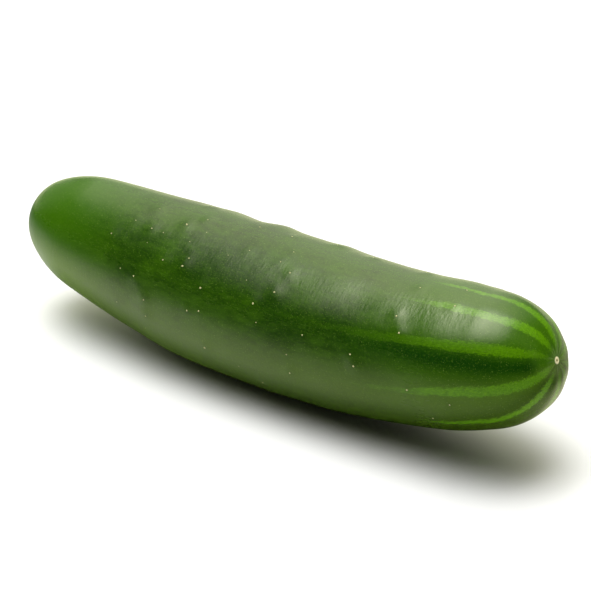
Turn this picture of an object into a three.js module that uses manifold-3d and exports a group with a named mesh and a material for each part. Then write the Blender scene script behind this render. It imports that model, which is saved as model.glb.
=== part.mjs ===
// A whole slicing cucumber: one solid fruit lying on its belly.
// Millimetres, +Z up. The fruit runs along X, blossom end towards +X, and rests at z = 0.
// A place on the skin is [millimetres from the stem end, degrees from the top towards -Y].

import * as THREE from 'three';
import { mergeVertices } from 'three/addons/utils/BufferGeometryUtils.js';
import Module from 'manifold-3d';

// Centre line: it lies in the XZ plane and lifts at both ends.
const LENGTH = 222.9;
const STEM_SLOPE = -10.8; // degrees from level
const BLOSSOM_SLOPE = 21.4;
const MIDDLE_CURL = 10.8; // degrees gained over half the length, at the middle

// Diameters at six equal steps from the stem end, before the ends are rounded off.
const DIAMETERS = [34.7, 47.5, 55.3, 55.0, 49.8, 38.7];
const SWELL = { along: 189.5, length: 11, height: 0.63 };
const STEM_ROUNDING = { length: 28.8, fullness: 2.3 };
const BLOSSOM_ROUNDING = { length: 21.9, fullness: 2.25 };

// The section is faintly three-sided, and ten shallow furrows gather at the blossom end.
const LOBES = { count: 3, turn: -2, height: 0.2 };
const FURROWS = { count: 10, turn: 32, reach: 60, depth: 0.08 };

// Slight unevenness all over, in long waves: [millimetres between crests, waves round, start, height].
const UNEVEN = [
  [31, 3, 0.1, 0.05],
  [17, -5, 0.6, 0.01],
  [23, 4, 0.3, 0.02],
];

// Soft humps and hollows of the body: [along, around, reach along, reach around, height].
const SWELLINGS = [
  [82, -30, 5, 7, 0.25],
  [94, -30, 6, 8, -0.6],
  [105, -30, 5, 7, 0.55],
  [132, -30, 5, 7, 0.45],
  [159, -30, 9, 9, -0.3],
  [76, 138, 11, 10, 0.45],
  [113, 143, 16, 10, -0.25],
  [170, 36, 10, 10, 0.25],
  [71.5, 96, 4, 10, 0.4],
];

// Warts that can be told apart on the front, by height, and a rule for those behind and below.
const FRONT_WARTS = [
  {
    height: 0.34,
    places: [
      [75.5, -16], [100.5, 103], [131.5, -17], [136, 100], [148, -15], [160, 74], [161.5, 82],
      [171, -15], [177, 52],
    ],
  },
  {
    height: 0.25,
    places: [
      [65, 31], [66.5, 71], [73, 85], [74, 98], [77, 18], [82.5, 7], [85.5, 50], [96, 60],
      [115.5, -6], [118.5, 58], [122.5, 120], [125, 46], [174, 40],
    ],
  },
  {
    height: 0.15,
    places: [
      [45, -11], [50, 47], [59.5, 100], [61.5, 11], [76.5, 51], [92.5, 79], [97.5, 76], [101.5, -5],
      [121.5, 70], [122.5, 11], [127, 29], [140.5, 69], [176.5, 11], [181, 94], [187, 120], [193, 1],
      [193.5, 22], [195, 105],
    ],
  },
  {
    height: 0.08,
    places: [[56.5, 29], [59.5, 70], [70.5, 31], [86.5, 43], [107, 22], [121, 23], [135, 86]],
  },
];
const HIDDEN_WARTS = {
  count: 44, from: [40, 150], to: [200, 325], spacing: 9.5, height: 0.2, variation: 0.1, seed: 7,
};
const WART_RADIUS = 2.8;

// Blossom end: a small corky ring with a pit, in a slight dimple with faint pleats round it.
const RING = { radius: 0.75, width: 0.3, height: 0.25 };
const PIT = { radius: 0.35, depth: 0.3 };
const DIMPLE = { radius: 3.5, depth: 0.15 };
const PLEATS = { count: 20, radius: 3.4, width: 2.0, depth: 0.03 };

// Stem end: a shallow hollow that holds the round scar of the stalk.
const HOLLOW = { radius: 7.0, depth: 1.7 };
const STALK_RIM = { radius: 3.7, width: 0.75, height: 0.55 };
const STALK_PIT = { radius: 1.3, depth: 0.7 };

// The belly's flat spot, and the mesh.
const FLAT_DEPTH = 0.7;
const CORNERS_ROUND = 60;
const ROW_SPACING = 3.1;
const END_SPACING = 0.36;
const SPACING_GROWTH = 1.17;

const SKIN_COLOUR = 0x2f5d10;

const radians = THREE.MathUtils.degToRad;
const bell = (distance, reach) => Math.exp(-((distance / reach) ** 2));

// How steeply the centre line climbs, in radians, at a distance from the stem end.
function climb(along) {
  const u = (2 * along) / LENGTH - 1;
  const even = (BLOSSOM_SLOPE + STEM_SLOPE) / 2;
  const odd = (BLOSSOM_SLOPE - STEM_SLOPE) / 2 - MIDDLE_CURL;
  return radians(MIDDLE_CURL * u + even * u ** 2 + odd * u ** 3);
}

function centreLine() {
  const steps = 240;
  const step = LENGTH / steps;
  const points = [new THREE.Vector3(0, 0, 0)];
  for (let i = 0; i < steps; i += 1) {
    const slope = climb((i + 0.5) * step);
    const move = new THREE.Vector3(Math.cos(slope), 0, Math.sin(slope)).multiplyScalar(step);
    points.push(points[i].clone().add(move));
  }
  return new THREE.CatmullRomCurve3(points);
}

// A smooth curve through equally spaced values, at place t counted in steps.
function through(values, t) {
  const last = values.length - 1;
  const i = Math.min(Math.floor(t), last - 1);
  const f = t - i;
  const b = values[i];
  const c = values[i + 1];
  const a = i > 0 ? values[i - 1] : 2 * b - c;
  const d = i < last - 1 ? values[i + 2] : 2 * c - b;
  const square = (2 * a - 5 * b + 4 * c - d) * f ** 2;
  const cube = (3 * b - a - 3 * c + d) * f ** 3;
  return 0.5 * (2 * b + (c - a) * f + square + cube);
}

function rounding(distance, end) {
  const short = Math.max(1 - distance / end.length, 0);
  return (1 - short ** end.fullness) ** (1 / end.fullness);
}

function bodyRadius(along) {
  const step = LENGTH / (DIAMETERS.length - 1);
  const swell = SWELL.height * bell(along - SWELL.along, SWELL.length);
  const body = through(DIAMETERS, along / step) / 2 + swell;
  return body * rounding(along, STEM_ROUNDING) * rounding(LENGTH - along, BLOSSOM_ROUNDING);
}

// The fruit's outline, from the stem end to the blossom end, as points (along, radius).
class Outline extends THREE.Curve {
  constructor() {
    super();
    this.arcLengthDivisions = 2000;
  }

  getPoint(t, target = new THREE.Vector2()) {
    const along = (LENGTH * (1 - Math.cos(Math.PI * t))) / 2;
    return target.set(along, bodyRadius(along));
  }
}

// Repeatable numbers from 0 to 1.
function drawFrom(seed) {
  let state = seed;
  return () => {
    state = (state * 16807) % 2147483647;
    return state / 2147483647;
  };
}

// Distance over the skin between two places.
function reachBetween(one, other) {
  const turn = THREE.MathUtils.euclideanModulo(one[1] - other[1] + 180, 360) - 180;
  return Math.hypot(one[0] - other[0], radians(turn) * bodyRadius(one[0]));
}

function placeWarts() {
  const draw = drawFrom(HIDDEN_WARTS.seed);
  const between = (side) =>
    THREE.MathUtils.lerp(HIDDEN_WARTS.from[side], HIDDEN_WARTS.to[side], draw());
  const all = FRONT_WARTS.flatMap(({ height, places }) => places.map((place) => ({ place, height })));
  const wanted = all.length + HIDDEN_WARTS.count;
  while (all.length < wanted) {
    const place = [between(0), between(1)];
    const clear = all.every((other) => reachBetween(place, other.place) > HIDDEN_WARTS.spacing);
    if (clear) {
      all.push({ place, height: HIDDEN_WARTS.height + HIDDEN_WARTS.variation * (2 * draw() - 1) });
    }
  }
  return all;
}

const warts = placeWarts();

// Height of the skin's relief above the plain body.
function relief(along, around) {
  const u = (2 * along) / LENGTH - 1;
  const place = [along, around];
  const out = bodyRadius(along);

  let height = LOBES.height * (1 - u ** 4) * Math.cos(radians(LOBES.count * (around - LOBES.turn)));

  const gather = bell(LENGTH - along, FURROWS.reach) * Math.min(out / 15, 1);
  height -= FURROWS.depth * gather * Math.cos(radians(FURROWS.count * (around - FURROWS.turn)));

  for (const [apart, waves, start, rise] of UNEVEN) {
    const wave = Math.cos(2 * Math.PI * (along / apart + start) + radians(waves * around));
    height += rise * wave * Math.min(out / 15, 1);
  }
  for (const [middle, side, reachAlong, reachAround, rise] of SWELLINGS) {
    const across = reachBetween([middle, side], [middle, around]);
    height += rise * bell(along - middle, reachAlong) * bell(across, reachAround);
  }
  for (const wart of warts) height += wart.height * bell(reachBetween(wart.place, place), WART_RADIUS);

  if (along > LENGTH / 2) {
    const pleat = Math.cos(radians(PLEATS.count * around));
    height += RING.height * bell(out - RING.radius, RING.width) - PIT.depth * bell(out, PIT.radius);
    height -= DIMPLE.depth * bell(out, DIMPLE.radius);
    height += PLEATS.depth * pleat * bell(out - PLEATS.radius, PLEATS.width) * Math.min(out / 2, 1);
  } else {
    height -= HOLLOW.depth * bell(out, HOLLOW.radius) + STALK_PIT.depth * bell(out, STALK_PIT.radius);
    height += STALK_RIM.height * bell(out - STALK_RIM.radius, STALK_RIM.width);
  }
  return height;
}

// Rows of the mesh: close together at the ends, then evenly spaced. Each is a point (along, radius).
function meshRows() {
  const outline = new Outline();
  const total = outline.getLength();
  const gaps = [];
  for (let gap = END_SPACING; gap < ROW_SPACING; gap *= SPACING_GROWTH) gaps.push(gap);
  const ends = 2 * gaps.reduce((sum, gap) => sum + gap, 0);
  const middle = Math.round((total - ends) / ROW_SPACING);
  const all = [...gaps, ...Array(middle).fill((total - ends) / middle), ...gaps.reverse()];
  const rows = [outline.getPointAt(0)];
  let reached = 0;
  for (const gap of all) {
    reached = Math.min(reached + gap, total);
    rows.push(outline.getPointAt(reached / total));
  }
  return rows;
}

// The places of the mesh's corners, with the corner nearest to each wart moved onto it.
function cornerPlaces(rows) {
  const places = rows.map((row) =>
    Array.from({ length: CORNERS_ROUND }, (_, i) => [row.x, (-360 * i) / CORNERS_ROUND]));
  for (const { place } of warts) {
    const nearest = rows.reduce(
      (best, row, i) => (Math.abs(row.x - place[0]) < Math.abs(rows[best].x - place[0]) ? i : best), 0);
    const turn = Math.round((-place[1] * CORNERS_ROUND) / 360);
    places[nearest][THREE.MathUtils.euclideanModulo(turn, CORNERS_ROUND)] = place;
  }
  return places;
}

function skinPoint(line, along, around) {
  const small = 1e-3;
  const before = Math.max(along - small, 0);
  const after = Math.min(along + small, LENGTH);
  const steepness = Math.atan2(bodyRadius(after) - bodyRadius(before), after - before);
  const slope = climb(along);
  const forward = new THREE.Vector3(Math.cos(slope), 0, Math.sin(slope));
  const outward = new THREE.Vector3(-Math.sin(slope), 0, Math.cos(slope));
  outward.applyAxisAngle(forward, radians(around));
  const normal = outward.clone().multiplyScalar(Math.cos(steepness));
  normal.addScaledVector(forward, -Math.sin(steepness));
  const point = line.getPoint(along / LENGTH).addScaledVector(outward, bodyRadius(along));
  return point.addScaledVector(normal, relief(along, around));
}

function fruitSkin() {
  const rows = meshRows();
  const places = cornerPlaces(rows);
  const line = centreLine();
  const skin = new THREE.SphereGeometry(1, CORNERS_ROUND, rows.length - 1);
  const corners = skin.attributes.position;
  for (let i = 0; i < corners.count; i += 1) {
    const row = Math.floor(i / (CORNERS_ROUND + 1));
    const column = i % (CORNERS_ROUND + 1) % CORNERS_ROUND;
    const [along, around] = places[row][column];
    const atEnd = row === 0 || row === rows.length - 1;
    const point = skinPoint(line, along, atEnd ? 0 : around);
    corners.setXYZ(i, point.x, point.y, point.z);
  }
  return skin;
}

function solidFrom(wasm, geometry) {
  const plain = geometry.clone();
  plain.deleteAttribute('normal');
  plain.deleteAttribute('uv');
  const merged = mergeVertices(plain, 1e-6);
  const vertProperties = new Float32Array(merged.attributes.position.array);
  const triVerts = new Uint32Array(merged.index.array);
  return new wasm.Manifold(new wasm.Mesh({ numProp: 3, vertProperties, triVerts }));
}

function geometryFrom(solid) {
  const mesh = solid.getMesh();
  const geometry = new THREE.BufferGeometry();
  geometry.setAttribute('position', new THREE.BufferAttribute(mesh.vertProperties, 3));
  geometry.setIndex(new THREE.BufferAttribute(mesh.triVerts, 1));
  return geometry;
}

// Sets the fruit down on z = 0 and planes its belly flat where it touches.
function settle(wasm, skin) {
  skin.computeBoundingBox();
  const box = skin.boundingBox;
  const middle = box.getCenter(new THREE.Vector3());
  skin.translate(-middle.x, -middle.y, -box.min.z - FLAT_DEPTH);
  const floor = new THREE.BoxGeometry(2 * LENGTH, LENGTH, LENGTH);
  floor.translate(0, 0, -LENGTH / 2);
  return geometryFrom(solidFrom(wasm, skin).subtract(solidFrom(wasm, floor)));
}

const wasm = await Module();
wasm.setup();

const cucumber = new THREE.Mesh(
  settle(wasm, fruitSkin()),
  new THREE.MeshStandardMaterial({ color: SKIN_COLOUR, roughness: 0.45, metalness: 0 }),
);
cucumber.name = 'cucumber';
cucumber.geometry.computeVertexNormals();

const group = new THREE.Group();
group.name = 'cucumber_part';
group.add(cucumber);

export default group;
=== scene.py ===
import functools
import math

import bpy
import numpy as np
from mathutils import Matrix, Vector


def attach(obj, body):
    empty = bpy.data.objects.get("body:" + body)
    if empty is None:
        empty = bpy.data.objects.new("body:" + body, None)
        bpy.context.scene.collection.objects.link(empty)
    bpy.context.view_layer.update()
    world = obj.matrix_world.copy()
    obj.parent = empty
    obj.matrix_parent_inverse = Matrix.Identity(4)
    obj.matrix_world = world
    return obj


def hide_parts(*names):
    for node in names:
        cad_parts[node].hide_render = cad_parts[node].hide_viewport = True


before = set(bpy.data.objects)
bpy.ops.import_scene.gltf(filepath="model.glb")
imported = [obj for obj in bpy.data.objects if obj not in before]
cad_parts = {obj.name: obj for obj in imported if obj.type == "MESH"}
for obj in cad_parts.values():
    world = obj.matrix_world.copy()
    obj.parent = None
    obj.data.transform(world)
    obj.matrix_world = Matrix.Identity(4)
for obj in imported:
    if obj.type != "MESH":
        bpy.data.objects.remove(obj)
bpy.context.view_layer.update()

# The fruit's shape, in millimetres and degrees, as in the CAD model. A place on the skin is
# (millimetres from the stem end, degrees from the top towards -Y).
MM = 0.001
LENGTH = 222.9
STEM_SLOPE = -10.8
BLOSSOM_SLOPE = 21.4
MIDDLE_CURL = 10.8
DIAMETERS = [34.7, 47.5, 55.3, 55.0, 49.8, 38.7]
SWELL_ALONG, SWELL_LENGTH, SWELL_HEIGHT = 189.5, 11, 0.63
STEM_LENGTH, STEM_FULLNESS = 28.8, 2.3
BLOSSOM_LENGTH, BLOSSOM_FULLNESS = 21.9, 2.25
LOBES_COUNT, LOBES_TURN, LOBES_HEIGHT = 3, -2, 0.2
FURROWS_COUNT, FURROWS_TURN, FURROWS_REACH, FURROWS_DEPTH = 10, 32, 60, 0.08
FLAT_DEPTH = 0.7

# Slight unevenness all over, in long waves: millimetres between crests, waves round, start, height.
UNEVEN = [(31, 3, 0.1, 0.05), (17, -5, 0.6, 0.01), (23, 4, 0.3, 0.02)]

# Humps and hollows: along, around, reach along, reach around, height.
SWELLINGS = [
    (82, -30, 5, 7, 0.25),
    (94, -30, 6, 8, -0.6),
    (105, -30, 5, 7, 0.55),
    (132, -30, 5, 7, 0.45),
    (159, -30, 9, 9, -0.3),
    (76, 138, 11, 10, 0.45),
    (113, 143, 16, 10, -0.25),
    (170, 36, 10, 10, 0.25),
    (71.5, 96, 4, 10, 0.4),
]

# Warts that can be told apart, by height: along, around, radius of the dry scar on top.
FRONT_WARTS = {
    0.34: [
        (75.5, -16, 0.18), (100.5, 103, 0.38), (131.5, -17, 0.2), (136, 100, 0.28), (148, -15, 0.2),
        (160, 74, 0.3), (161.5, 82, 0.28), (171, -15, 0.2), (177, 52, 0.32),
    ],
    0.25: [
        (65, 31, 0.24), (66.5, 71, 0.32), (73, 85, 0.22), (74, 98, 0.24), (77, 18, 0.28), (82.5, 7, 0.2),
        (85.5, 50, 0.32), (96, 60, 0.36), (115.5, -6, 0.28), (118.5, 58, 0.36), (122.5, 120, 0.28),
        (125, 46, 0.3), (174, 40, 0.28),
    ],
    0.15: [
        (45, -11, 0.12), (50, 47, 0.26), (59.5, 100, 0.2), (61.5, 11, 0.16), (76.5, 51, 0.28),
        (92.5, 79, 0.28), (97.5, 76, 0.28), (101.5, -5, 0.24), (121.5, 70, 0.24), (122.5, 11, 0.2),
        (127, 29, 0.24), (140.5, 69, 0.26), (176.5, 11, 0.24), (181, 94, 0.3), (187, 120, 0.24),
        (193, 1, 0.24), (193.5, 22, 0.26), (195, 105, 0.26),
    ],
    0.08: [
        (56.5, 29, 0.16), (59.5, 70, 0.18), (70.5, 31, 0.16), (86.5, 43, 0.24), (107, 22, 0.22),
        (121, 23, 0.2), (135, 86, 0.2),
    ],
}
LONG_SCAR = (77, 18)
# Tiny pale scars that raise no wart.
BARE_SCARS = [(66.5, 43), (83, 31), (86.5, 19), (100.5, 31), (112.5, 44), (114, 110), (72.5, 112)]
HIDDEN_COUNT, HIDDEN_FROM, HIDDEN_TO, HIDDEN_SPACING, HIDDEN_SEED = 44, (40, 150), (200, 325), 9.5, 7
HIDDEN_HEIGHT, HIDDEN_VARIATION = 0.2, 0.1
HIDDEN_SCAR, BARE_SCAR = 0.28, 0.15
WART_RADIUS = 2.8

# Blossom end: a corky ring with a pit, in a dimple with faint pleats round it.
RING_RADIUS, RING_WIDTH, RING_HEIGHT = 0.75, 0.3, 0.25
PIT_RADIUS, PIT_DEPTH = 0.35, 0.3
DIMPLE_RADIUS, DIMPLE_DEPTH = 3.5, 0.15
PLEATS_COUNT, PLEATS_RADIUS, PLEATS_WIDTH, PLEATS_DEPTH = 20, 3.4, 2.0, 0.03

# Stem end: a hollow that holds the round scar of the stalk.
HOLLOW_RADIUS, HOLLOW_DEPTH = 7.0, 1.7
STALK_RADIUS, STALK_WIDTH, STALK_HEIGHT = 3.7, 0.75, 0.55
STALK_PIT_RADIUS, STALK_PIT_DEPTH = 1.3, 0.7

# Mesh of the skin.
COLUMNS = 240
ROW_SPACING = 0.66
END_SPACING = 0.12
SPACING_GROWTH = 1.06

# Light stripes, the five in front first: knots of along, middle and half-width in degrees, strength.
STRIPES = [
    [
        (172, -2, 1, 0), (186, -1.5, 1.8, 0.8), (200, -1.5, 2, 1), (207, -4, 2.5, 1), (213, -9, 4.2, 1),
        (217, -14, 6, 1), (219.5, -19, 7.5, 1), (222, -25, 10, 0.9), (222.8, -28, 14, 0.3),
    ],
    [
        (128, 23, 1.2, 0), (165, 23.5, 1.2, 0.25), (182, 23.5, 1.8, 0.55), (190, 23, 3.4, 0.8),
        (200, 24, 3.4, 0.85), (210, 24.5, 4, 0.85), (216, 21.5, 5.5, 1), (219.5, 17.5, 7.5, 1),
        (222, 15, 10, 0.9), (222.8, 14, 16, 0.3),
    ],
    [
        (85, 60, 2, 0), (120, 59, 3, 0.05), (150, 58, 3.5, 0.1), (170, 56.5, 4.5, 0.2),
        (182, 55.5, 4.5, 0.35), (190, 55.5, 4.5, 0.5), (205, 55.5, 5.5, 0.62), (213, 56.5, 6, 0.72),
        (219, 56, 7, 0.65), (222, 54, 10, 0.5), (222.8, 60, 16, 0.3),
    ],
    [
        (148, 96, 1.5, 0), (168, 95.5, 2, 0.35), (180, 94.8, 2.2, 0.6), (190, 93.2, 3.2, 0.9),
        (200, 93.2, 3.9, 1), (208, 94.5, 4.6, 1), (215, 96.5, 5.5, 1), (219.5, 99, 7, 1),
        (222, 101, 9, 0.9), (222.8, 102, 14, 0.3),
    ],
    [
        (176, 123, 1.4, 0), (190, 126.5, 2, 0.9), (200, 128, 2.6, 1), (207, 129.5, 3, 1),
        (213, 131, 3.6, 1), (217, 132, 4.5, 1), (219.5, 133, 6, 1), (222, 133, 9, 0.8),
        (222.8, 133, 14, 0.3),
    ],
    [
        (150, 166, 1.5, 0), (175, 167, 2.5, 0.6), (200, 168, 3.8, 1), (212, 171, 5, 1),
        (221, 176, 8, 0.8), (222.8, 178, 14, 0.3),
    ],
    [
        (110, 204, 2.5, 0), (160, 205, 3.5, 0.45), (195, 206, 5, 1), (212, 207, 6, 1), (221, 208, 9, 0.8),
        (222.8, 210, 14, 0.3),
    ],
    [
        (155, 243, 1.2, 0), (182, 243, 2.2, 0.7), (203, 244, 3, 1), (213, 243, 4.5, 1),
        (221, 240, 8, 0.8), (222.8, 238, 14, 0.3),
    ],
    [
        (130, 281, 2, 0), (172, 281, 3, 0.5), (196, 280, 4.5, 1), (212, 278, 5.5, 1), (221, 274, 9, 0.8),
        (222.8, 272, 14, 0.3),
    ],
    [
        (160, 320, 1.2, 0), (185, 319, 2.2, 0.75), (205, 318, 3.2, 1), (214, 313, 5, 1),
        (221, 306, 8, 0.8), (222.8, 302, 14, 0.3),
    ],
]


def bell(distance, reach):
    return np.exp(-((distance / reach) ** 2))


def smooth(edge0, edge1, value):
    t = np.clip((value - edge0) / (edge1 - edge0), 0, 1)
    return t * t * (3 - 2 * t)


def climb(along):
    """How steeply the centre line climbs, in radians."""
    u = 2 * along / LENGTH - 1
    even = (BLOSSOM_SLOPE + STEM_SLOPE) / 2
    odd = (BLOSSOM_SLOPE - STEM_SLOPE) / 2 - MIDDLE_CURL
    return np.radians(MIDDLE_CURL * u + even * u**2 + odd * u**3)


def centre_line(along):
    steps = 2400
    step = LENGTH / steps
    slope = climb((np.arange(steps) + 0.5) * step)
    marks = np.arange(steps + 1) * step
    x = np.concatenate([[0], np.cumsum(np.cos(slope) * step)])
    z = np.concatenate([[0], np.cumsum(np.sin(slope) * step)])
    return np.interp(along, marks, x), np.interp(along, marks, z)


def through(values, t):
    """A smooth curve through equally spaced values, at place t counted in steps."""
    last = len(values) - 1
    v = np.array([2 * values[0] - values[1], *values, 2 * values[-1] - values[-2]])
    t = np.clip(t, 0, last - 1e-9)
    i = np.floor(t).astype(int)
    f = t - i
    a, b, c, d = v[i], v[i + 1], v[i + 2], v[i + 3]
    square = (2 * a - 5 * b + 4 * c - d) * f**2
    cube = (3 * b - a - 3 * c + d) * f**3
    return 0.5 * (2 * b + (c - a) * f + square + cube)


def rounding(distance, length, fullness):
    short = np.maximum(1 - distance / length, 0)
    return np.maximum(1 - short**fullness, 0) ** (1 / fullness)


def body_radius(along):
    along = np.asarray(along, float)
    body = through(DIAMETERS, along / (LENGTH / (len(DIAMETERS) - 1))) / 2
    body = body + SWELL_HEIGHT * bell(along - SWELL_ALONG, SWELL_LENGTH)
    body = body * rounding(along, STEM_LENGTH, STEM_FULLNESS)
    return body * rounding(LENGTH - along, BLOSSOM_LENGTH, BLOSSOM_FULLNESS)


def turn_between(one, other):
    return (one - other + 180) % 360 - 180


def reach_between(place, along, around):
    """Distance over the skin from a place to others."""
    out = float(body_radius(place[0]))
    return np.hypot(place[0] - along, np.radians(turn_between(place[1], around)) * out)


def draw_from(seed):
    """Repeatable numbers from 0 to 1."""
    state = seed
    while True:
        state = state * 16807 % 2147483647
        yield state / 2147483647


def place_warts():
    """Along, around, height and scar radius of each wart: the ones given, then seeded ones behind."""
    draw = draw_from(HIDDEN_SEED)
    warts = [(*place, height, scar) for height, rows in FRONT_WARTS.items() for *place, scar in rows]
    wanted = len(warts) + HIDDEN_COUNT
    while len(warts) < wanted:
        place = tuple(a + (b - a) * next(draw) for a, b in zip(HIDDEN_FROM, HIDDEN_TO))
        if all(reach_between(place, *other[:2]) > HIDDEN_SPACING for other in warts):
            height = HIDDEN_HEIGHT + HIDDEN_VARIATION * (2 * next(draw) - 1)
            warts.append((*place, height, HIDDEN_SCAR))
    return warts


warts = place_warts()


def relief(along, around):
    """Height of the skin above the plain body."""
    u = 2 * along / LENGTH - 1
    out = body_radius(along)
    height = LOBES_HEIGHT * (1 - u**4) * np.cos(np.radians(LOBES_COUNT * (around - LOBES_TURN)))
    gather = bell(LENGTH - along, FURROWS_REACH) * np.minimum(out / 15, 1)
    furrow = np.cos(np.radians(FURROWS_COUNT * (around - FURROWS_TURN)))
    height = height - FURROWS_DEPTH * gather * furrow
    for apart, waves, start, rise in UNEVEN:
        wave = np.cos(2 * np.pi * (along / apart + start) + np.radians(waves * around))
        height = height + rise * wave * np.minimum(out / 15, 1)
    for middle, side, reach_along, reach_around, rise in SWELLINGS:
        across = np.radians(turn_between(side, around)) * body_radius(middle)
        height = height + rise * bell(along - middle, reach_along) * bell(across, reach_around)
    for *place, rise, _ in warts:
        height = height + rise * bell(reach_between(place, along, around), WART_RADIUS)
    pleat = np.cos(np.radians(PLEATS_COUNT * around))
    blossom = RING_HEIGHT * bell(out - RING_RADIUS, RING_WIDTH) - PIT_DEPTH * bell(out, PIT_RADIUS)
    blossom = blossom - DIMPLE_DEPTH * bell(out, DIMPLE_RADIUS)
    folds = bell(out - PLEATS_RADIUS, PLEATS_WIDTH) * np.minimum(out / 2, 1)
    blossom = blossom + PLEATS_DEPTH * pleat * folds
    stem = STALK_HEIGHT * bell(out - STALK_RADIUS, STALK_WIDTH)
    stem = stem - HOLLOW_DEPTH * bell(out, HOLLOW_RADIUS)
    stem = stem - STALK_PIT_DEPTH * bell(out, STALK_PIT_RADIUS)
    return height + np.where(along > LENGTH / 2, blossom, stem)


def skin_points(along, around):
    """Points of the skin and its plain outward directions, before the fruit is set down."""
    along, around = np.asarray(along, float), np.asarray(around, float)
    small = 1e-3
    before = np.maximum(along - small, 0)
    after = np.minimum(along + small, LENGTH)
    steep = np.arctan2(body_radius(after) - body_radius(before), after - before)
    slope, turn = climb(along), np.radians(around)
    x, z = centre_line(along)
    out = body_radius(along)
    outward = np.stack(
        [-np.sin(slope) * np.cos(turn), -np.sin(turn), np.cos(slope) * np.cos(turn)], -1)
    forward = np.stack([np.cos(slope), np.zeros_like(slope), np.sin(slope)], -1)
    normal = outward * np.cos(steep)[..., None] - forward * np.sin(steep)[..., None]
    middle = np.stack([x, np.zeros_like(x), z], -1)
    return middle + outward * out[..., None] + normal * relief(along, around)[..., None], normal


def mesh_rows():
    """Distances from the stem end of the mesh's rows: close at the ends, then even."""
    fine = LENGTH * (1 - np.cos(np.pi * np.linspace(0, 1, 4001))) / 2
    out = body_radius(fine)
    path = np.concatenate([[0], np.cumsum(np.hypot(np.diff(fine), np.diff(out)))])
    gaps = []
    gap = END_SPACING
    while gap < ROW_SPACING:
        gaps.append(gap)
        gap *= SPACING_GROWTH
    rest = path[-1] - 2 * sum(gaps)
    middle = round(rest / ROW_SPACING)
    steps = gaps + [rest / middle] * middle + gaps[::-1]
    places = np.concatenate([[0], np.cumsum(steps)])
    return np.interp(places, path, fine)


def stripe_fields(along, around):
    """How far into a light stripe each place is, in mm from its edge, and how strong the stripe is."""
    depth = np.full(along.shape, -9.0)
    strength = np.zeros(along.shape)
    out = np.maximum(body_radius(along), 0.5)
    for knots in STRIPES:
        marks, *columns = np.array(knots, float).T
        middle, half, power = (np.interp(along, marks, column) for column in columns)
        inside = np.radians(half - np.abs(turn_between(around, middle))) * out
        better = inside > depth
        depth = np.where(better, inside, depth)
        strength = np.where(better, power, strength)
    return depth, strength


def closed_skin():
    rows = mesh_rows()
    inner = rows[1:-1]
    around = -360 * np.arange(COLUMNS) / COLUMNS
    grid_along, grid_around = np.meshgrid(inner, around, indexing="ij")
    along = np.concatenate([[rows[0]], grid_along.ravel(), [rows[-1]]])
    turn = np.concatenate([[0], grid_around.ravel(), [0]])
    points, _ = skin_points(along, turn)
    count = len(inner)
    index = 1 + np.arange(count * COLUMNS).reshape(count, COLUMNS)
    beside = np.roll(index, -1, axis=1)
    quads = np.stack([index[:-1], beside[:-1], beside[1:], index[1:]], -1).reshape(-1, 4)
    first = [(0, int(b), int(a)) for a, b in zip(index[0], beside[0])]
    last_point = len(along) - 1
    last = [(last_point, int(a), int(b)) for a, b in zip(index[-1], beside[-1])]
    return along, turn, points, first + quads.tolist() + last


def mesh_object(name, points, faces):
    mesh = bpy.data.meshes.new(name)
    mesh.from_pydata(points.tolist(), [], faces)
    mesh.validate()
    mesh.polygons.foreach_set("use_smooth", [True] * len(mesh.polygons))
    mesh.update()
    thing = bpy.data.objects.new(name, mesh)
    bpy.context.scene.collection.objects.link(thing)
    return thing


def add_field(thing, name, values):
    values = np.asarray(values, np.float32)
    kind = "FLOAT_VECTOR" if values.ndim == 2 else "FLOAT"
    field = thing.data.attributes.new(name, kind, "POINT")
    field.data.foreach_set("vector" if values.ndim == 2 else "value", values.ravel())


# The skin, set down on z = 0 as the CAD model is.
along, around, points, faces = closed_skin()
low, high = points.min(axis=0), points.max(axis=0)
set_down = np.array([-(low[0] + high[0]) / 2, -(low[1] + high[1]) / 2, -low[2] - FLAT_DEPTH])
points = points + set_down
points[:, 2] = np.maximum(points[:, 2], 0)
skin = mesh_object("cucumber_skin", points * MM, faces)

# Where the looks change: (none, full) in millimetres along, millimetres out or degrees down the side.
RING_EDGE, STALK_EDGE = (1.3, 1.05), (4.6, 3.8)
PIT_EDGE, STALK_PIT_REACH = (0.58, 0.3), 1.5
STEM_GLOW, BLOSSOM_GLOW, TIP_GLOW = (64, 22), (150, 185), (203, 220)
# Painted shade: both flanks darker, between the lit top and the lit belly.
FLANK_SHADE_MIDDLE, FLANK_SHADE_REACH = 57, 19
# The belly: partly paler skin, partly painted light from the floor.
BELLY_EDGE = (70, 110)
SOFT_EDGE, SOFT_ALONG = (52, 78), (200, 165)
# Painted shade: the bottom of the skin darker, more so towards the blossom end.
UNDERSIDE_SHADE_EDGE, UNDERSIDE_SHADE_ALONG = (96, 126), (60, 140)
DENTS_MIDDLE, DENTS_REACH = (187, 28), (14, 18)
NEAR_WART_REACH = 1.5

# A dark band between two stripes: its middle and reach in degrees at knots along, and its two ends.
BAND_MIDDLE = [(175, 64), (203, 69), (213, 73), (221, 77)]
BAND_REACH = [(180, 9), (203, 11), (215, 12), (221, 15)]
BAND_START, BAND_END = (145, 185), (222.4, 219.5)

# Share of the full gloss near the top, at knots along, and how far the stem end is duller.
WAX = [(80, 0.95), (120, 0.72), (140, 1.0), (165, 1.3), (190, 1.4), (205, 1.1), (222, 1.0)]
WAX_MIDDLE, WAX_REACH = 28, 20
DULL_ALONG, DULLER = (22, 8), 0.4

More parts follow.
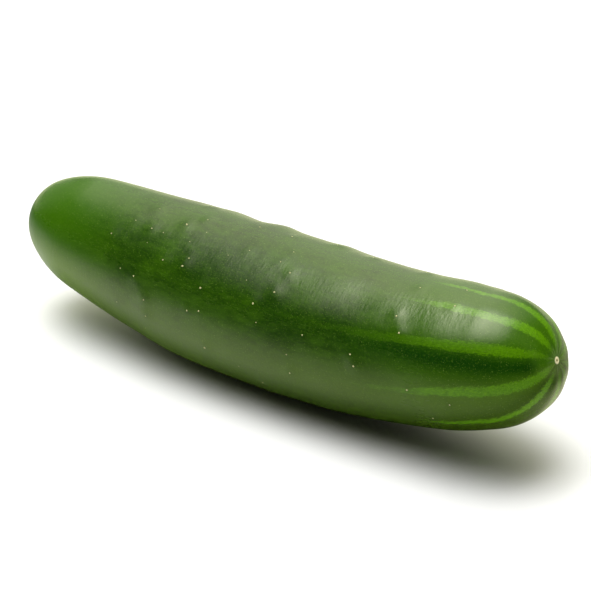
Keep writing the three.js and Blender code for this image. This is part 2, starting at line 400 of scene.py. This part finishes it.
# Pale streaks round the ring, partly painted sheen on the pleat crests: two sets of folds, where they
# show, and the range of distances out.
STREAKS_COUNT, STREAKS_TURN, STREAKS_SHARE = 13, 40, 0.7
STREAKS_EDGE, STREAKS_INNER, STREAKS_OUTER = (0.5, 1.6), (1.2, 1.9), (5, 2.5)


def by_knots(knots, along):
    """Values on straight lines between knots of (along, value)."""
    marks, values = zip(*knots)
    return np.interp(along, marks, values)


def skin_fields(along, around):
    """What the skin's material reads at each point, by name."""
    out, turn = body_radius(along), np.radians(around)
    down_side = np.abs(turn_between(around, 0))
    at_blossom = along > LENGTH / 2
    stripe_depth, stripe_strength = stripe_fields(along, around)
    band = bell(turn_between(around, by_knots(BAND_MIDDLE, along)), by_knots(BAND_REACH, along))
    wax = 1 + (by_knots(WAX, along) - 1) * bell(down_side - WAX_MIDDLE, WAX_REACH)
    dents = bell(along - DENTS_MIDDLE[0], DENTS_REACH[0])
    dents = dents * bell(turn_between(around, DENTS_MIDDLE[1]), DENTS_REACH[1])
    # Pale streaks on the fold crests round the ring: partly colour, partly painted sheen.
    folds = np.cos(PLEATS_COUNT * turn)
    folds = folds + STREAKS_SHARE * np.cos(np.radians(STREAKS_COUNT * around + STREAKS_TURN))
    streaks = smooth(*STREAKS_EDGE, folds) * smooth(*STREAKS_INNER, out) * smooth(*STREAKS_OUTER, out)
    near_wart = np.zeros(along.shape)
    for *place, _, _ in warts:
        near_wart = np.maximum(near_wart, bell(reach_between(place, along, around), NEAR_WART_REACH))
    return {
        "straight": np.stack([along, out * np.cos(turn), out * np.sin(turn)], -1),
        "stripe_depth": stripe_depth,
        "stripe_strength": stripe_strength,
        "at_blossom": at_blossom,
        "cork": np.where(at_blossom, smooth(*RING_EDGE, out), smooth(*STALK_EDGE, out)),
        "cork_pit": np.where(at_blossom, smooth(*PIT_EDGE, out), bell(out, STALK_PIT_REACH)),
        "tip_streaks_and_sheen": np.where(at_blossom, streaks, 0),
        "stem_glow": smooth(*STEM_GLOW, along),
        "blossom_glow": smooth(*BLOSSOM_GLOW, along),
        "tip_glow": smooth(*TIP_GLOW, along),
        "dark_band": band * smooth(*BAND_START, along) * smooth(*BAND_END, along),
        # Painted shade on both flanks.
        "flank_painted_shade": bell(down_side - FLANK_SHADE_MIDDLE, FLANK_SHADE_REACH),
        # Partly paler skin, partly painted floor light.
        "belly": smooth(*BELLY_EDGE, down_side),
        "soft_side": smooth(*SOFT_EDGE, down_side) * smooth(*SOFT_ALONG, along),
        # Painted shade along the bottom.
        "underside_painted_shade": smooth(*UNDERSIDE_SHADE_EDGE, down_side) * smooth(*UNDERSIDE_SHADE_ALONG, along),
        "gloss": wax * (1 - DULLER * smooth(*DULL_ALONG, along)),
        "dented": dents,
        "near_wart": near_wart,
    }


for name, values in skin_fields(along, around).items():
    add_field(skin, name, values)


# The dry scars where spines have rubbed off: small closed lentils, half sunk in the skin.
SCAR_SIDES, SCAR_RINGS = 12, 6
SCAR_FLATNESS = 0.45
SCAR_STRETCH, LONG_SCAR_STRETCH = 1.12, 1.9
LONG_SCAR_TURN = (0.8, 0.6)
SCAR_LEAST, SCAR_SPREAD = 0.9, 0.2


def scar_spots():
    """Place and radius of each scar that is clear of the floor."""
    draw = draw_from(HIDDEN_SEED + 4)
    spots = [((along, around), size) for along, around, _, size in warts]
    spots += [(place, BARE_SCAR) for place in BARE_SCARS]
    clear = []
    for place, size in spots:
        size *= SCAR_LEAST + SCAR_SPREAD * next(draw)
        point, _ = skin_points(*np.array(place, float)[:, None])
        if point[0, 2] + set_down[2] > 2 * size:
            clear.append((place, size))
    return clear


def scar_directions(place, normal):
    """Along the scar and across it, and how far it is stretched along."""
    forward = np.array([1.0, 0, 0]) - normal * normal[0]
    forward = forward / np.linalg.norm(forward)
    across = np.cross(normal, forward)
    if place != LONG_SCAR:
        return forward, across, SCAR_STRETCH
    major, minor = LONG_SCAR_TURN
    return major * forward - minor * across, minor * forward + major * across, LONG_SCAR_STRETCH


def lentil(size, forward, across, stretch, normal, base):
    """Points of one scar about its middle, and faces that count from base."""
    up = normal * size * SCAR_FLATNESS
    points, faces = [up], []
    for p in np.pi * np.arange(1, SCAR_RINGS) / SCAR_RINGS:
        for a in 2 * np.pi * np.arange(SCAR_SIDES) / SCAR_SIDES:
            flat = math.cos(a) * stretch * forward + math.sin(a) * across
            points.append(size * math.sin(p) * flat + up * math.cos(p))
    points.append(-up)
    last = base + 1 + (SCAR_RINGS - 2) * SCAR_SIDES
    bottom = base + len(points) - 1
    for i in range(SCAR_SIDES):
        j = (i + 1) % SCAR_SIDES
        faces.append((base, base + 1 + i, base + 1 + j))
        for ring in range(SCAR_RINGS - 2):
            a = base + 1 + ring * SCAR_SIDES
            b = a + SCAR_SIDES
            faces.append((a + i, b + i, b + j, a + j))
        faces.append((bottom, last + j, last + i))
    return points, faces


def spine_scars():
    all_points, all_faces = [], []
    for place, size in scar_spots():
        point, normal = skin_points(*np.array(place, float)[:, None])
        forward, across, stretch = scar_directions(place, normal[0])
        points, faces = lentil(size, forward, across, stretch, normal[0], len(all_points))
        all_points += [point[0] + set_down + offset for offset in points]
        all_faces += faces
    return mesh_object("spine_scars", np.array(all_points) * MM, all_faces)


scars = spine_scars()


# Materials.
class Nodes:
    """Short calls for building a node tree."""

    def __init__(self, owner, shader="Principled BSDF"):
        owner.use_nodes = True
        self.owner = owner
        self.tree = owner.node_tree
        self.shader = self.tree.nodes[shader]

    def put(self, value, socket):
        if isinstance(value, bpy.types.NodeSocket):
            self.tree.links.new(value, socket)
        else:
            socket.default_value = value

    def node(self, kind, output=0, settings=None, **inputs):
        made = self.tree.nodes.new("ShaderNode" + kind)
        for key, value in (settings or {}).items():
            setattr(made, key, value)
        for key, value in inputs.items():
            self.put(value, made.inputs[key.replace("_", " ")])
        return made.outputs[output]

    def split(self, vector):
        made = self.tree.nodes.new("ShaderNodeSeparateXYZ")
        self.put(vector, made.inputs[0])
        return made.outputs

    def field(self, name, output="Fac"):
        return self.node("Attribute", output, {"attribute_name": name})

    def math(self, operation, *values):
        made = self.tree.nodes.new("ShaderNodeMath")
        made.operation = operation
        for value, socket in zip(values, made.inputs):
            self.put(value, socket)
        return made.outputs[0]

    def plus(self, *values):
        return functools.reduce(functools.partial(self.math, "ADD"), values)

    def minus(self, a, b):
        return self.math("SUBTRACT", a, b)

    def times(self, *values):
        return functools.reduce(functools.partial(self.math, "MULTIPLY"), values)

    def most(self, *values):
        return functools.reduce(functools.partial(self.math, "MAXIMUM"), values)

    def hill(self, values, middles, reaches):
        """A round bump over two values: 1 at its middle, and low beyond its reach."""
        steps = [self.math("DIVIDE", self.minus(value, middle), reach)
                 for value, middle, reach in zip(values, middles, reaches)]
        far = self.plus(*(self.math("POWER", step, 2.0) for step in steps))
        return self.math("EXPONENT", self.times(far, -1.0))

    def mix(self, factor, a, b):
        made = self.tree.nodes.new("ShaderNodeMix")
        made.data_type = "RGBA"
        self.put(factor, made.inputs[0])
        for value, socket in ((a, made.inputs[6]), (b, made.inputs[7])):
            self.put((*value, 1) if isinstance(value, tuple) else value, socket)
        return made.outputs[2]

    def cover(self, base, mask, amount, colour):
        """The base with some of a colour over it where the mask is."""
        return self.mix(self.times(mask, amount), base, colour)

    def ramp(self, value, low, high, to_low=0.0, to_high=1.0, smooth_step=True):
        made = self.tree.nodes.new("ShaderNodeMapRange")
        made.interpolation_type = "SMOOTHSTEP" if smooth_step else "LINEAR"
        for number, socket in zip((value, low, high, to_low, to_high), made.inputs):
            self.put(number, socket)
        return made.outputs[0]

    def noise(self, vector, stretch, scale, detail=2, roughness=0.5):
        if stretch:
            made = self.tree.nodes.new("ShaderNodeMapping")
            self.put(vector, made.inputs["Vector"])
            made.inputs["Scale"].default_value = stretch
            vector = made.outputs[0]
        return self.node("TexNoise", 0, Vector=vector, Scale=scale, Detail=detail, Roughness=roughness)


# Dark green: the dark end of the tone, reached by noise and by the painted shade on the flanks.
DARK_GREEN, MIDDLE_GREEN = (0.0092, 0.040, 0.0004), (0.0305, 0.092, 0.0008)
# Belly green: partly paler skin, partly painted floor light. Underside green: painted shade.
BELLY_AND_FLOOR_LIGHT_GREEN, UNDERSIDE_SHADE_GREEN = (0.067, 0.132, 0.0006), (0.024, 0.056, 0.0003)
# Greens of the ends: on top and on the belly, where they are partly paler skin and partly painted floor
# light.
STEM_GREENS = (0.037, 0.125, 0.0004), (0.108, 0.212, 0.0010)
BLOSSOM_GREENS = (0.033, 0.104, 0.0004), (0.062, 0.138, 0.0008)
TIP_GREENS = (0.044, 0.138, 0.0004), (0.072, 0.172, 0.0008)
# Greens of the stripes: two shades of grain, on the body and at the tip.
STRIPE_GREENS = (0.064, 0.184, 0.0004), (0.102, 0.276, 0.0012)
TIP_STRIPE_GREENS = (0.075, 0.212, 0.0004), (0.118, 0.315, 0.0012)
BAND_GREEN, WART_FOOT_GREEN = (0.0010, 0.030, 0.0002), (0.012, 0.045, 0.0006)
PALE_FLECK, DARK_FLECK = (0.075, 0.170, 0.004), (0.005, 0.022, 0.0002)
# Streak green: partly pale colour, partly painted sheen on the pleat crests.
SPECK_GREEN, STREAK_AND_SHEEN_GREEN = (0.17, 0.27, 0.045), (0.13, 0.24, 0.045)
RING_CORK, STALK_CORK, PIT_BROWN = (0.86, 0.80, 0.48), (0.30, 0.27, 0.13), (0.26, 0.20, 0.035)
SCAR_PALE, SCAR_DARK = (0.62, 0.62, 0.32), (0.42, 0.38, 0.16)

# Pale specks, coarse to fine: cells in a millimetre, radius in cells, how plainly they show.
SPECKS = [(0.6, 0.12, 0.6), (1.1, 0.19, 0.55), (2.0, 0.3, 0.4)]

# Noises: stretch, scale (1 makes features about 1 mm apart), detail, roughness.
BROAD = (None, 0.045, 2)
MOTTLE = ((0.35, 1, 1), 0.5, 3, 0.6)
GRAIN = ((0.3, 1, 1), 2.4, 3, 0.65)
STREAKS = ((0.12, 1, 1), 1.5, 3, 0.6)
FLECKS = ((0.6, 1, 1), 1.9, 4, 0.7)
RIPPLE = ((1.2, 0.6, 0.6), 0.5, 2)
SILK = ((1, 0.14, 0.14), 0.9, 3, 0.6)
PORES = ((1.2, 0.75, 0.75), 1.4, 3, 0.65)
DENTS = ((1, 0.8, 0.8), 0.55, 2)
SCAR_FIBRE = (None, 4000, 2, 0.6)

WAX_IOR, WAX_LEVEL, WAX_TINT = 1.45, 0.5, (1.0, 1.0, 0.75, 1)
BUMP_STRENGTH, BUMP_DISTANCE = 0.35, 0.0002


def skin_greens(n, place, mottle):
    """The ground colour, from dark to light by noise and by where it is on the fruit, with painted shade
    on the flanks and the bottom, and partly painted floor light on the belly.
    """
    belly = n.field("belly")
    tone = n.plus(n.times(n.noise(place, *BROAD), 0.5), n.times(mottle, 0.5))
    # Painted shade: the tone sinks on both flanks.
    tone = n.minus(tone, n.times(n.field("flank_painted_shade"), 0.13))
    base = n.mix(n.ramp(tone, 0.28, 0.64), DARK_GREEN, MIDDLE_GREEN)
    # Partly painted floor light: the lower half paler.
    base = n.cover(base, belly, 0.85, BELLY_AND_FLOOR_LIGHT_GREEN)
    base = n.cover(base, n.field("stem_glow"), 0.9, n.mix(belly, *STEM_GREENS))
    blossom = n.mix(n.field("tip_glow"), n.mix(belly, *BLOSSOM_GREENS), n.mix(belly, *TIP_GREENS))
    base = n.cover(base, n.field("blossom_glow"), 0.8, blossom)
    base = n.cover(base, n.field("dark_band"), 0.9, BAND_GREEN)
    # Painted shade: darker along the bottom, towards the floor.
    return n.cover(base, n.field("underside_painted_shade"), 0.7, UNDERSIDE_SHADE_GREEN)


def with_stripes(n, base, place):
    """Ragged light stripes, which wear away where they are weak."""
    grain, streaks = n.noise(place, *GRAIN), n.noise(place, *STREAKS)
    strength = n.field("stripe_strength")
    ragged = n.plus(n.field("stripe_depth"), n.times(n.minus(grain, 0.5), 1.5))
    ragged = n.plus(ragged, n.times(n.minus(streaks, 0.5), 2.6))
    ragged = n.minus(ragged, n.minus(1.0, strength))
    stripe = n.times(n.ramp(ragged, -0.6, 0.45), strength)
    shade = n.ramp(grain, 0.35, 0.65)
    yellow = n.mix(n.field("tip_glow"), n.mix(shade, *STRIPE_GREENS), n.mix(shade, *TIP_STRIPE_GREENS))
    return n.cover(base, stripe, 0.95, yellow)


def with_flecks(n, base, place):
    flecks = n.noise(place, *FLECKS)
    base = n.cover(base, n.ramp(flecks, 0.50, 0.70), 0.26, PALE_FLECK)
    base = n.cover(base, n.ramp(flecks, 0.50, 0.32), 0.15, DARK_FLECK)
    for scale, size, amount in SPECKS:
        cells = n.node("TexVoronoi", "Distance", Vector=place, Scale=scale)
        pick = n.node("TexVoronoi", "Color", Vector=place, Scale=scale)
        chosen = n.ramp(n.node("SeparateColor", 0, Color=pick), 0.3, 0.95, 0, amount)
        base = n.cover(base, n.ramp(cells, size, size * 0.5), chosen, SPECK_GREEN)
    return base


def with_ends(n, base, cork):
    """Darker feet of the warts, pale streaks round the ring that are partly painted sheen on the pleat
    crests, and the dry cork of both ends.
    """
    base = n.cover(base, n.field("near_wart"), 0.2, WART_FOOT_GREEN)
    # Partly painted sheen: pale streaks on the crests of the folds round the ring.
    base = n.cover(base, n.field("tip_streaks_and_sheen"), 0.6, STREAK_AND_SHEEN_GREEN)
    base = n.mix(cork, base, n.mix(n.field("at_blossom"), STALK_CORK, RING_CORK))
    return n.mix(n.field("cork_pit"), base, PIT_BROWN)


def skin_material():
    n = Nodes(bpy.data.materials.new("cucumber_skin"))
    place = n.field("straight", "Vector")
    mottle, cork = n.noise(place, *MOTTLE), n.field("cork")
    base = skin_greens(n, place, mottle)
    base = with_flecks(n, with_stripes(n, base, place), place)
    n.put(with_ends(n, base, cork), n.shader.inputs["Base Color"])

    rough = n.plus(n.times(mottle, 0.10), 0.19, n.times(n.field("soft_side"), 0.07))
    n.put(n.mix(cork, rough, (0.8, 0.8, 0.8)), n.shader.inputs["Roughness"])
    n.put(n.times(n.field("gloss"), WAX_LEVEL), n.shader.inputs["Specular IOR Level"])
    n.shader.inputs["IOR"].default_value = WAX_IOR
    n.shader.inputs["Specular Tint"].default_value = WAX_TINT

    height = n.plus(n.times(n.noise(place, *RIPPLE), 0.6), n.times(n.noise(place, *PORES), 0.4))
    height = n.plus(height, n.times(n.noise(place, *SILK), 0.4))
    height = n.plus(height, n.times(n.noise(place, *DENTS), n.field("dented"), 1.2))
    bump = n.node("Bump", 0, Height=height, Strength=BUMP_STRENGTH, Distance=BUMP_DISTANCE)
    n.put(bump, n.shader.inputs["Normal"])
    return n.owner


def scar_material():
    n = Nodes(bpy.data.materials.new("spine_scars"))
    fibre = n.noise(n.node("TexCoord", "Object"), *SCAR_FIBRE)
    n.put(n.mix(fibre, SCAR_PALE, SCAR_DARK), n.shader.inputs["Base Color"])
    n.put(n.ramp(fibre, 0.2, 0.8, 0.55, 0.8), n.shader.inputs["Roughness"])
    return n.owner


skin.data.materials.append(skin_material())
scars.data.materials.append(scar_material())
for piece in (skin, scars):
    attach(piece, "root")
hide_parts("cucumber")


# Floor: pale to the camera. What the skin mirrors of it is dark, with soft pools of light.
FLOOR_DROP = 0.0001
FLOOR_REACH = 6
FLOOR_PALE = 0.88
FLOOR_ROUGHNESS, FLOOR_GLOSS = 0.9, 0.1
POOL_MIDDLE, POOL_REACH, POOL_SLANT = (-0.11, -0.05), (0.19, 0.13), 0.6
POOL_BRIGHT = 0.95
SPILL_MIDDLE, SPILL_REACH, SPILL_BRIGHT = (0.12, 0.04), (0.035, 0.05), 0.85
BEHIND_LEFT, BEHIND_RIGHT = 0.7, 0.45
WARM_BLUE = 0.7


def mirrored_floor(n):
    """What reflected rays see of the floor: a pool at the left, a small one, and a strip behind."""
    x, y, _ = n.split(n.node("TexCoord", "Object"))
    slanted = n.minus(x, n.times(n.minus(y, POOL_MIDDLE[1]), POOL_SLANT))
    pool = n.times(n.hill((slanted, y), POOL_MIDDLE, POOL_REACH), POOL_BRIGHT)
    pool = n.times(pool, n.most(n.ramp(y, -0.018, -0.042, 0.25, 1), n.ramp(x, -0.09, -0.14)))
    spill = n.times(n.hill((x, y), SPILL_MIDDLE, SPILL_REACH), SPILL_BRIGHT)
    behind = n.times(n.ramp(x, -0.05, 0.1, BEHIND_LEFT, BEHIND_RIGHT), n.ramp(y, 0.03, 0.15))
    warm = n.most(spill, behind)
    bright = n.most(pool, warm)
    blue = n.most(pool, n.times(warm, WARM_BLUE))
    return n.node("CombineColor", 0, Red=bright, Green=bright, Blue=blue)


def floor_material():
    n = Nodes(bpy.data.materials.new("floor"))
    mirrored = n.node("LightPath", "Is Glossy Ray")
    n.put(n.mix(mirrored, (FLOOR_PALE,) * 3, mirrored_floor(n)), n.shader.inputs["Base Color"])
    n.shader.inputs["Roughness"].default_value = FLOOR_ROUGHNESS
    n.shader.inputs["Specular IOR Level"].default_value = FLOOR_GLOSS
    return n.owner


corners = [(-1, -1), (1, -1), (1, 1), (-1, 1)]
floor_points = np.array([(x * FLOOR_REACH, y * FLOOR_REACH, -FLOOR_DROP) for x, y in corners])
floor = mesh_object("floor", floor_points, [(0, 1, 2, 3)])
floor.data.materials.append(floor_material())


# Camera.
CAMERA_AZIMUTH = 35.8
CAMERA_DOWN = 28.0
CAMERA_DISTANCE = 0.700
LENS = 122.77
AIM_FROM_MIDDLE = (4.87, 3.51, 5.51)
middle_x, middle_z = centre_line(LENGTH / 2)
aim = Vector((np.array([middle_x, 0, middle_z]) + set_down + AIM_FROM_MIDDLE) * MM)
azimuth, down = math.radians(CAMERA_AZIMUTH), math.radians(CAMERA_DOWN)
back = Vector((math.sin(azimuth) * math.cos(down), -math.cos(azimuth) * math.cos(down), math.sin(down)))
camera = bpy.data.objects.new("camera", bpy.data.cameras.new("camera"))
camera.data.lens = LENS
camera.data.clip_start = 0.01
camera.location = aim + back * CAMERA_DISTANCE
camera.rotation_euler = (-back).to_track_quat("-Z", "Y").to_euler()
bpy.context.scene.collection.objects.link(camera)
bpy.context.scene.camera = camera


# Light: a softbox overhead to the left with a brighter core, a backdrop behind, a light far left, and
# a dark room in front. The camera itself sees plain white.
SOFTBOX_RADIANCE = 8.5
SOFTBOX_TURN, SOFTBOX_TURN_FROM = 22.0, -0.25
CORE_MIDDLE, CORE_REACH, CORE_RADIANCE = (-0.30, 8), (0.12, 20), 3.0
BACKDROP_RADIANCE = 3.3
BACKDROP_LOWERING, BACKDROP_LOWER_FROM = 35.0, -0.35
LEFT_RADIANCE, LEFT_MOST = 1.15, 0.42
ROOM_RADIANCE = 0.02
SHOWN_RADIANCE = 1.0
WARM, WHITE = (1.0, 0.98, 0.80), (1.0, 1.0, 1.0)


def studio():
    n = Nodes(bpy.data.worlds.new("studio"), "Background")
    side, away, up = n.split(n.node("TexCoord", "Generated"))
    # Degrees from straight up towards -Y.
    lean = n.math("DEGREES", n.math("ARCTAN2", n.times(away, -1.0), up))

    turned = n.plus(lean, n.times(n.minus(side, SOFTBOX_TURN_FROM), SOFTBOX_TURN))
    softbox = n.times(n.ramp(turned, 46, 2, smooth_step=False), n.ramp(lean, -35, 0),
                      n.ramp(side, -0.60, -0.36), n.ramp(side, 0.38, 0.0))
    core = n.times(n.hill((side, lean), CORE_MIDDLE, CORE_REACH), CORE_RADIANCE)
    overhead = n.plus(n.times(softbox, SOFTBOX_RADIANCE), core)

    # The backdrop is paler at the left, and sinks towards the right.
    lower = n.times(n.most(n.minus(side, BACKDROP_LOWER_FROM), 0.0), BACKDROP_LOWERING)
    backdrop = n.ramp(n.minus(lean, lower), -80, -24, n.ramp(side, -0.15, -0.55, 0.06, 0.32), 1.0,
                      smooth_step=False)
    within = n.times(n.ramp(side, -0.8, -0.45), n.ramp(side, 0.45, -0.05))
    backdrop = n.times(backdrop, n.ramp(lean, 20, -20), n.ramp(within, 0, 1, 0.15, 1.0))

    left = n.times(n.ramp(side, -0.7, -0.85), n.ramp(lean, 48, -85, smooth_step=False))
    left = n.math("MINIMUM", left, LEFT_MOST)

    light = n.most(overhead, n.times(backdrop, BACKDROP_RADIANCE), n.times(left, LEFT_RADIANCE),
                   ROOM_RADIANCE)
    seen = n.node("LightPath", "Is Camera Ray")
    strength = n.plus(n.times(light, n.minus(1.0, seen)), n.times(seen, SHOWN_RADIANCE))
    n.put(strength, n.shader.inputs["Strength"])
    n.put(n.mix(n.most(n.ramp(overhead, 0.5, 3.0), seen), WARM, WHITE), n.shader.inputs["Color"])
    return n.owner


bpy.context.scene.world = studio()
bpy.context.scene.view_settings.view_transform = "Standard"
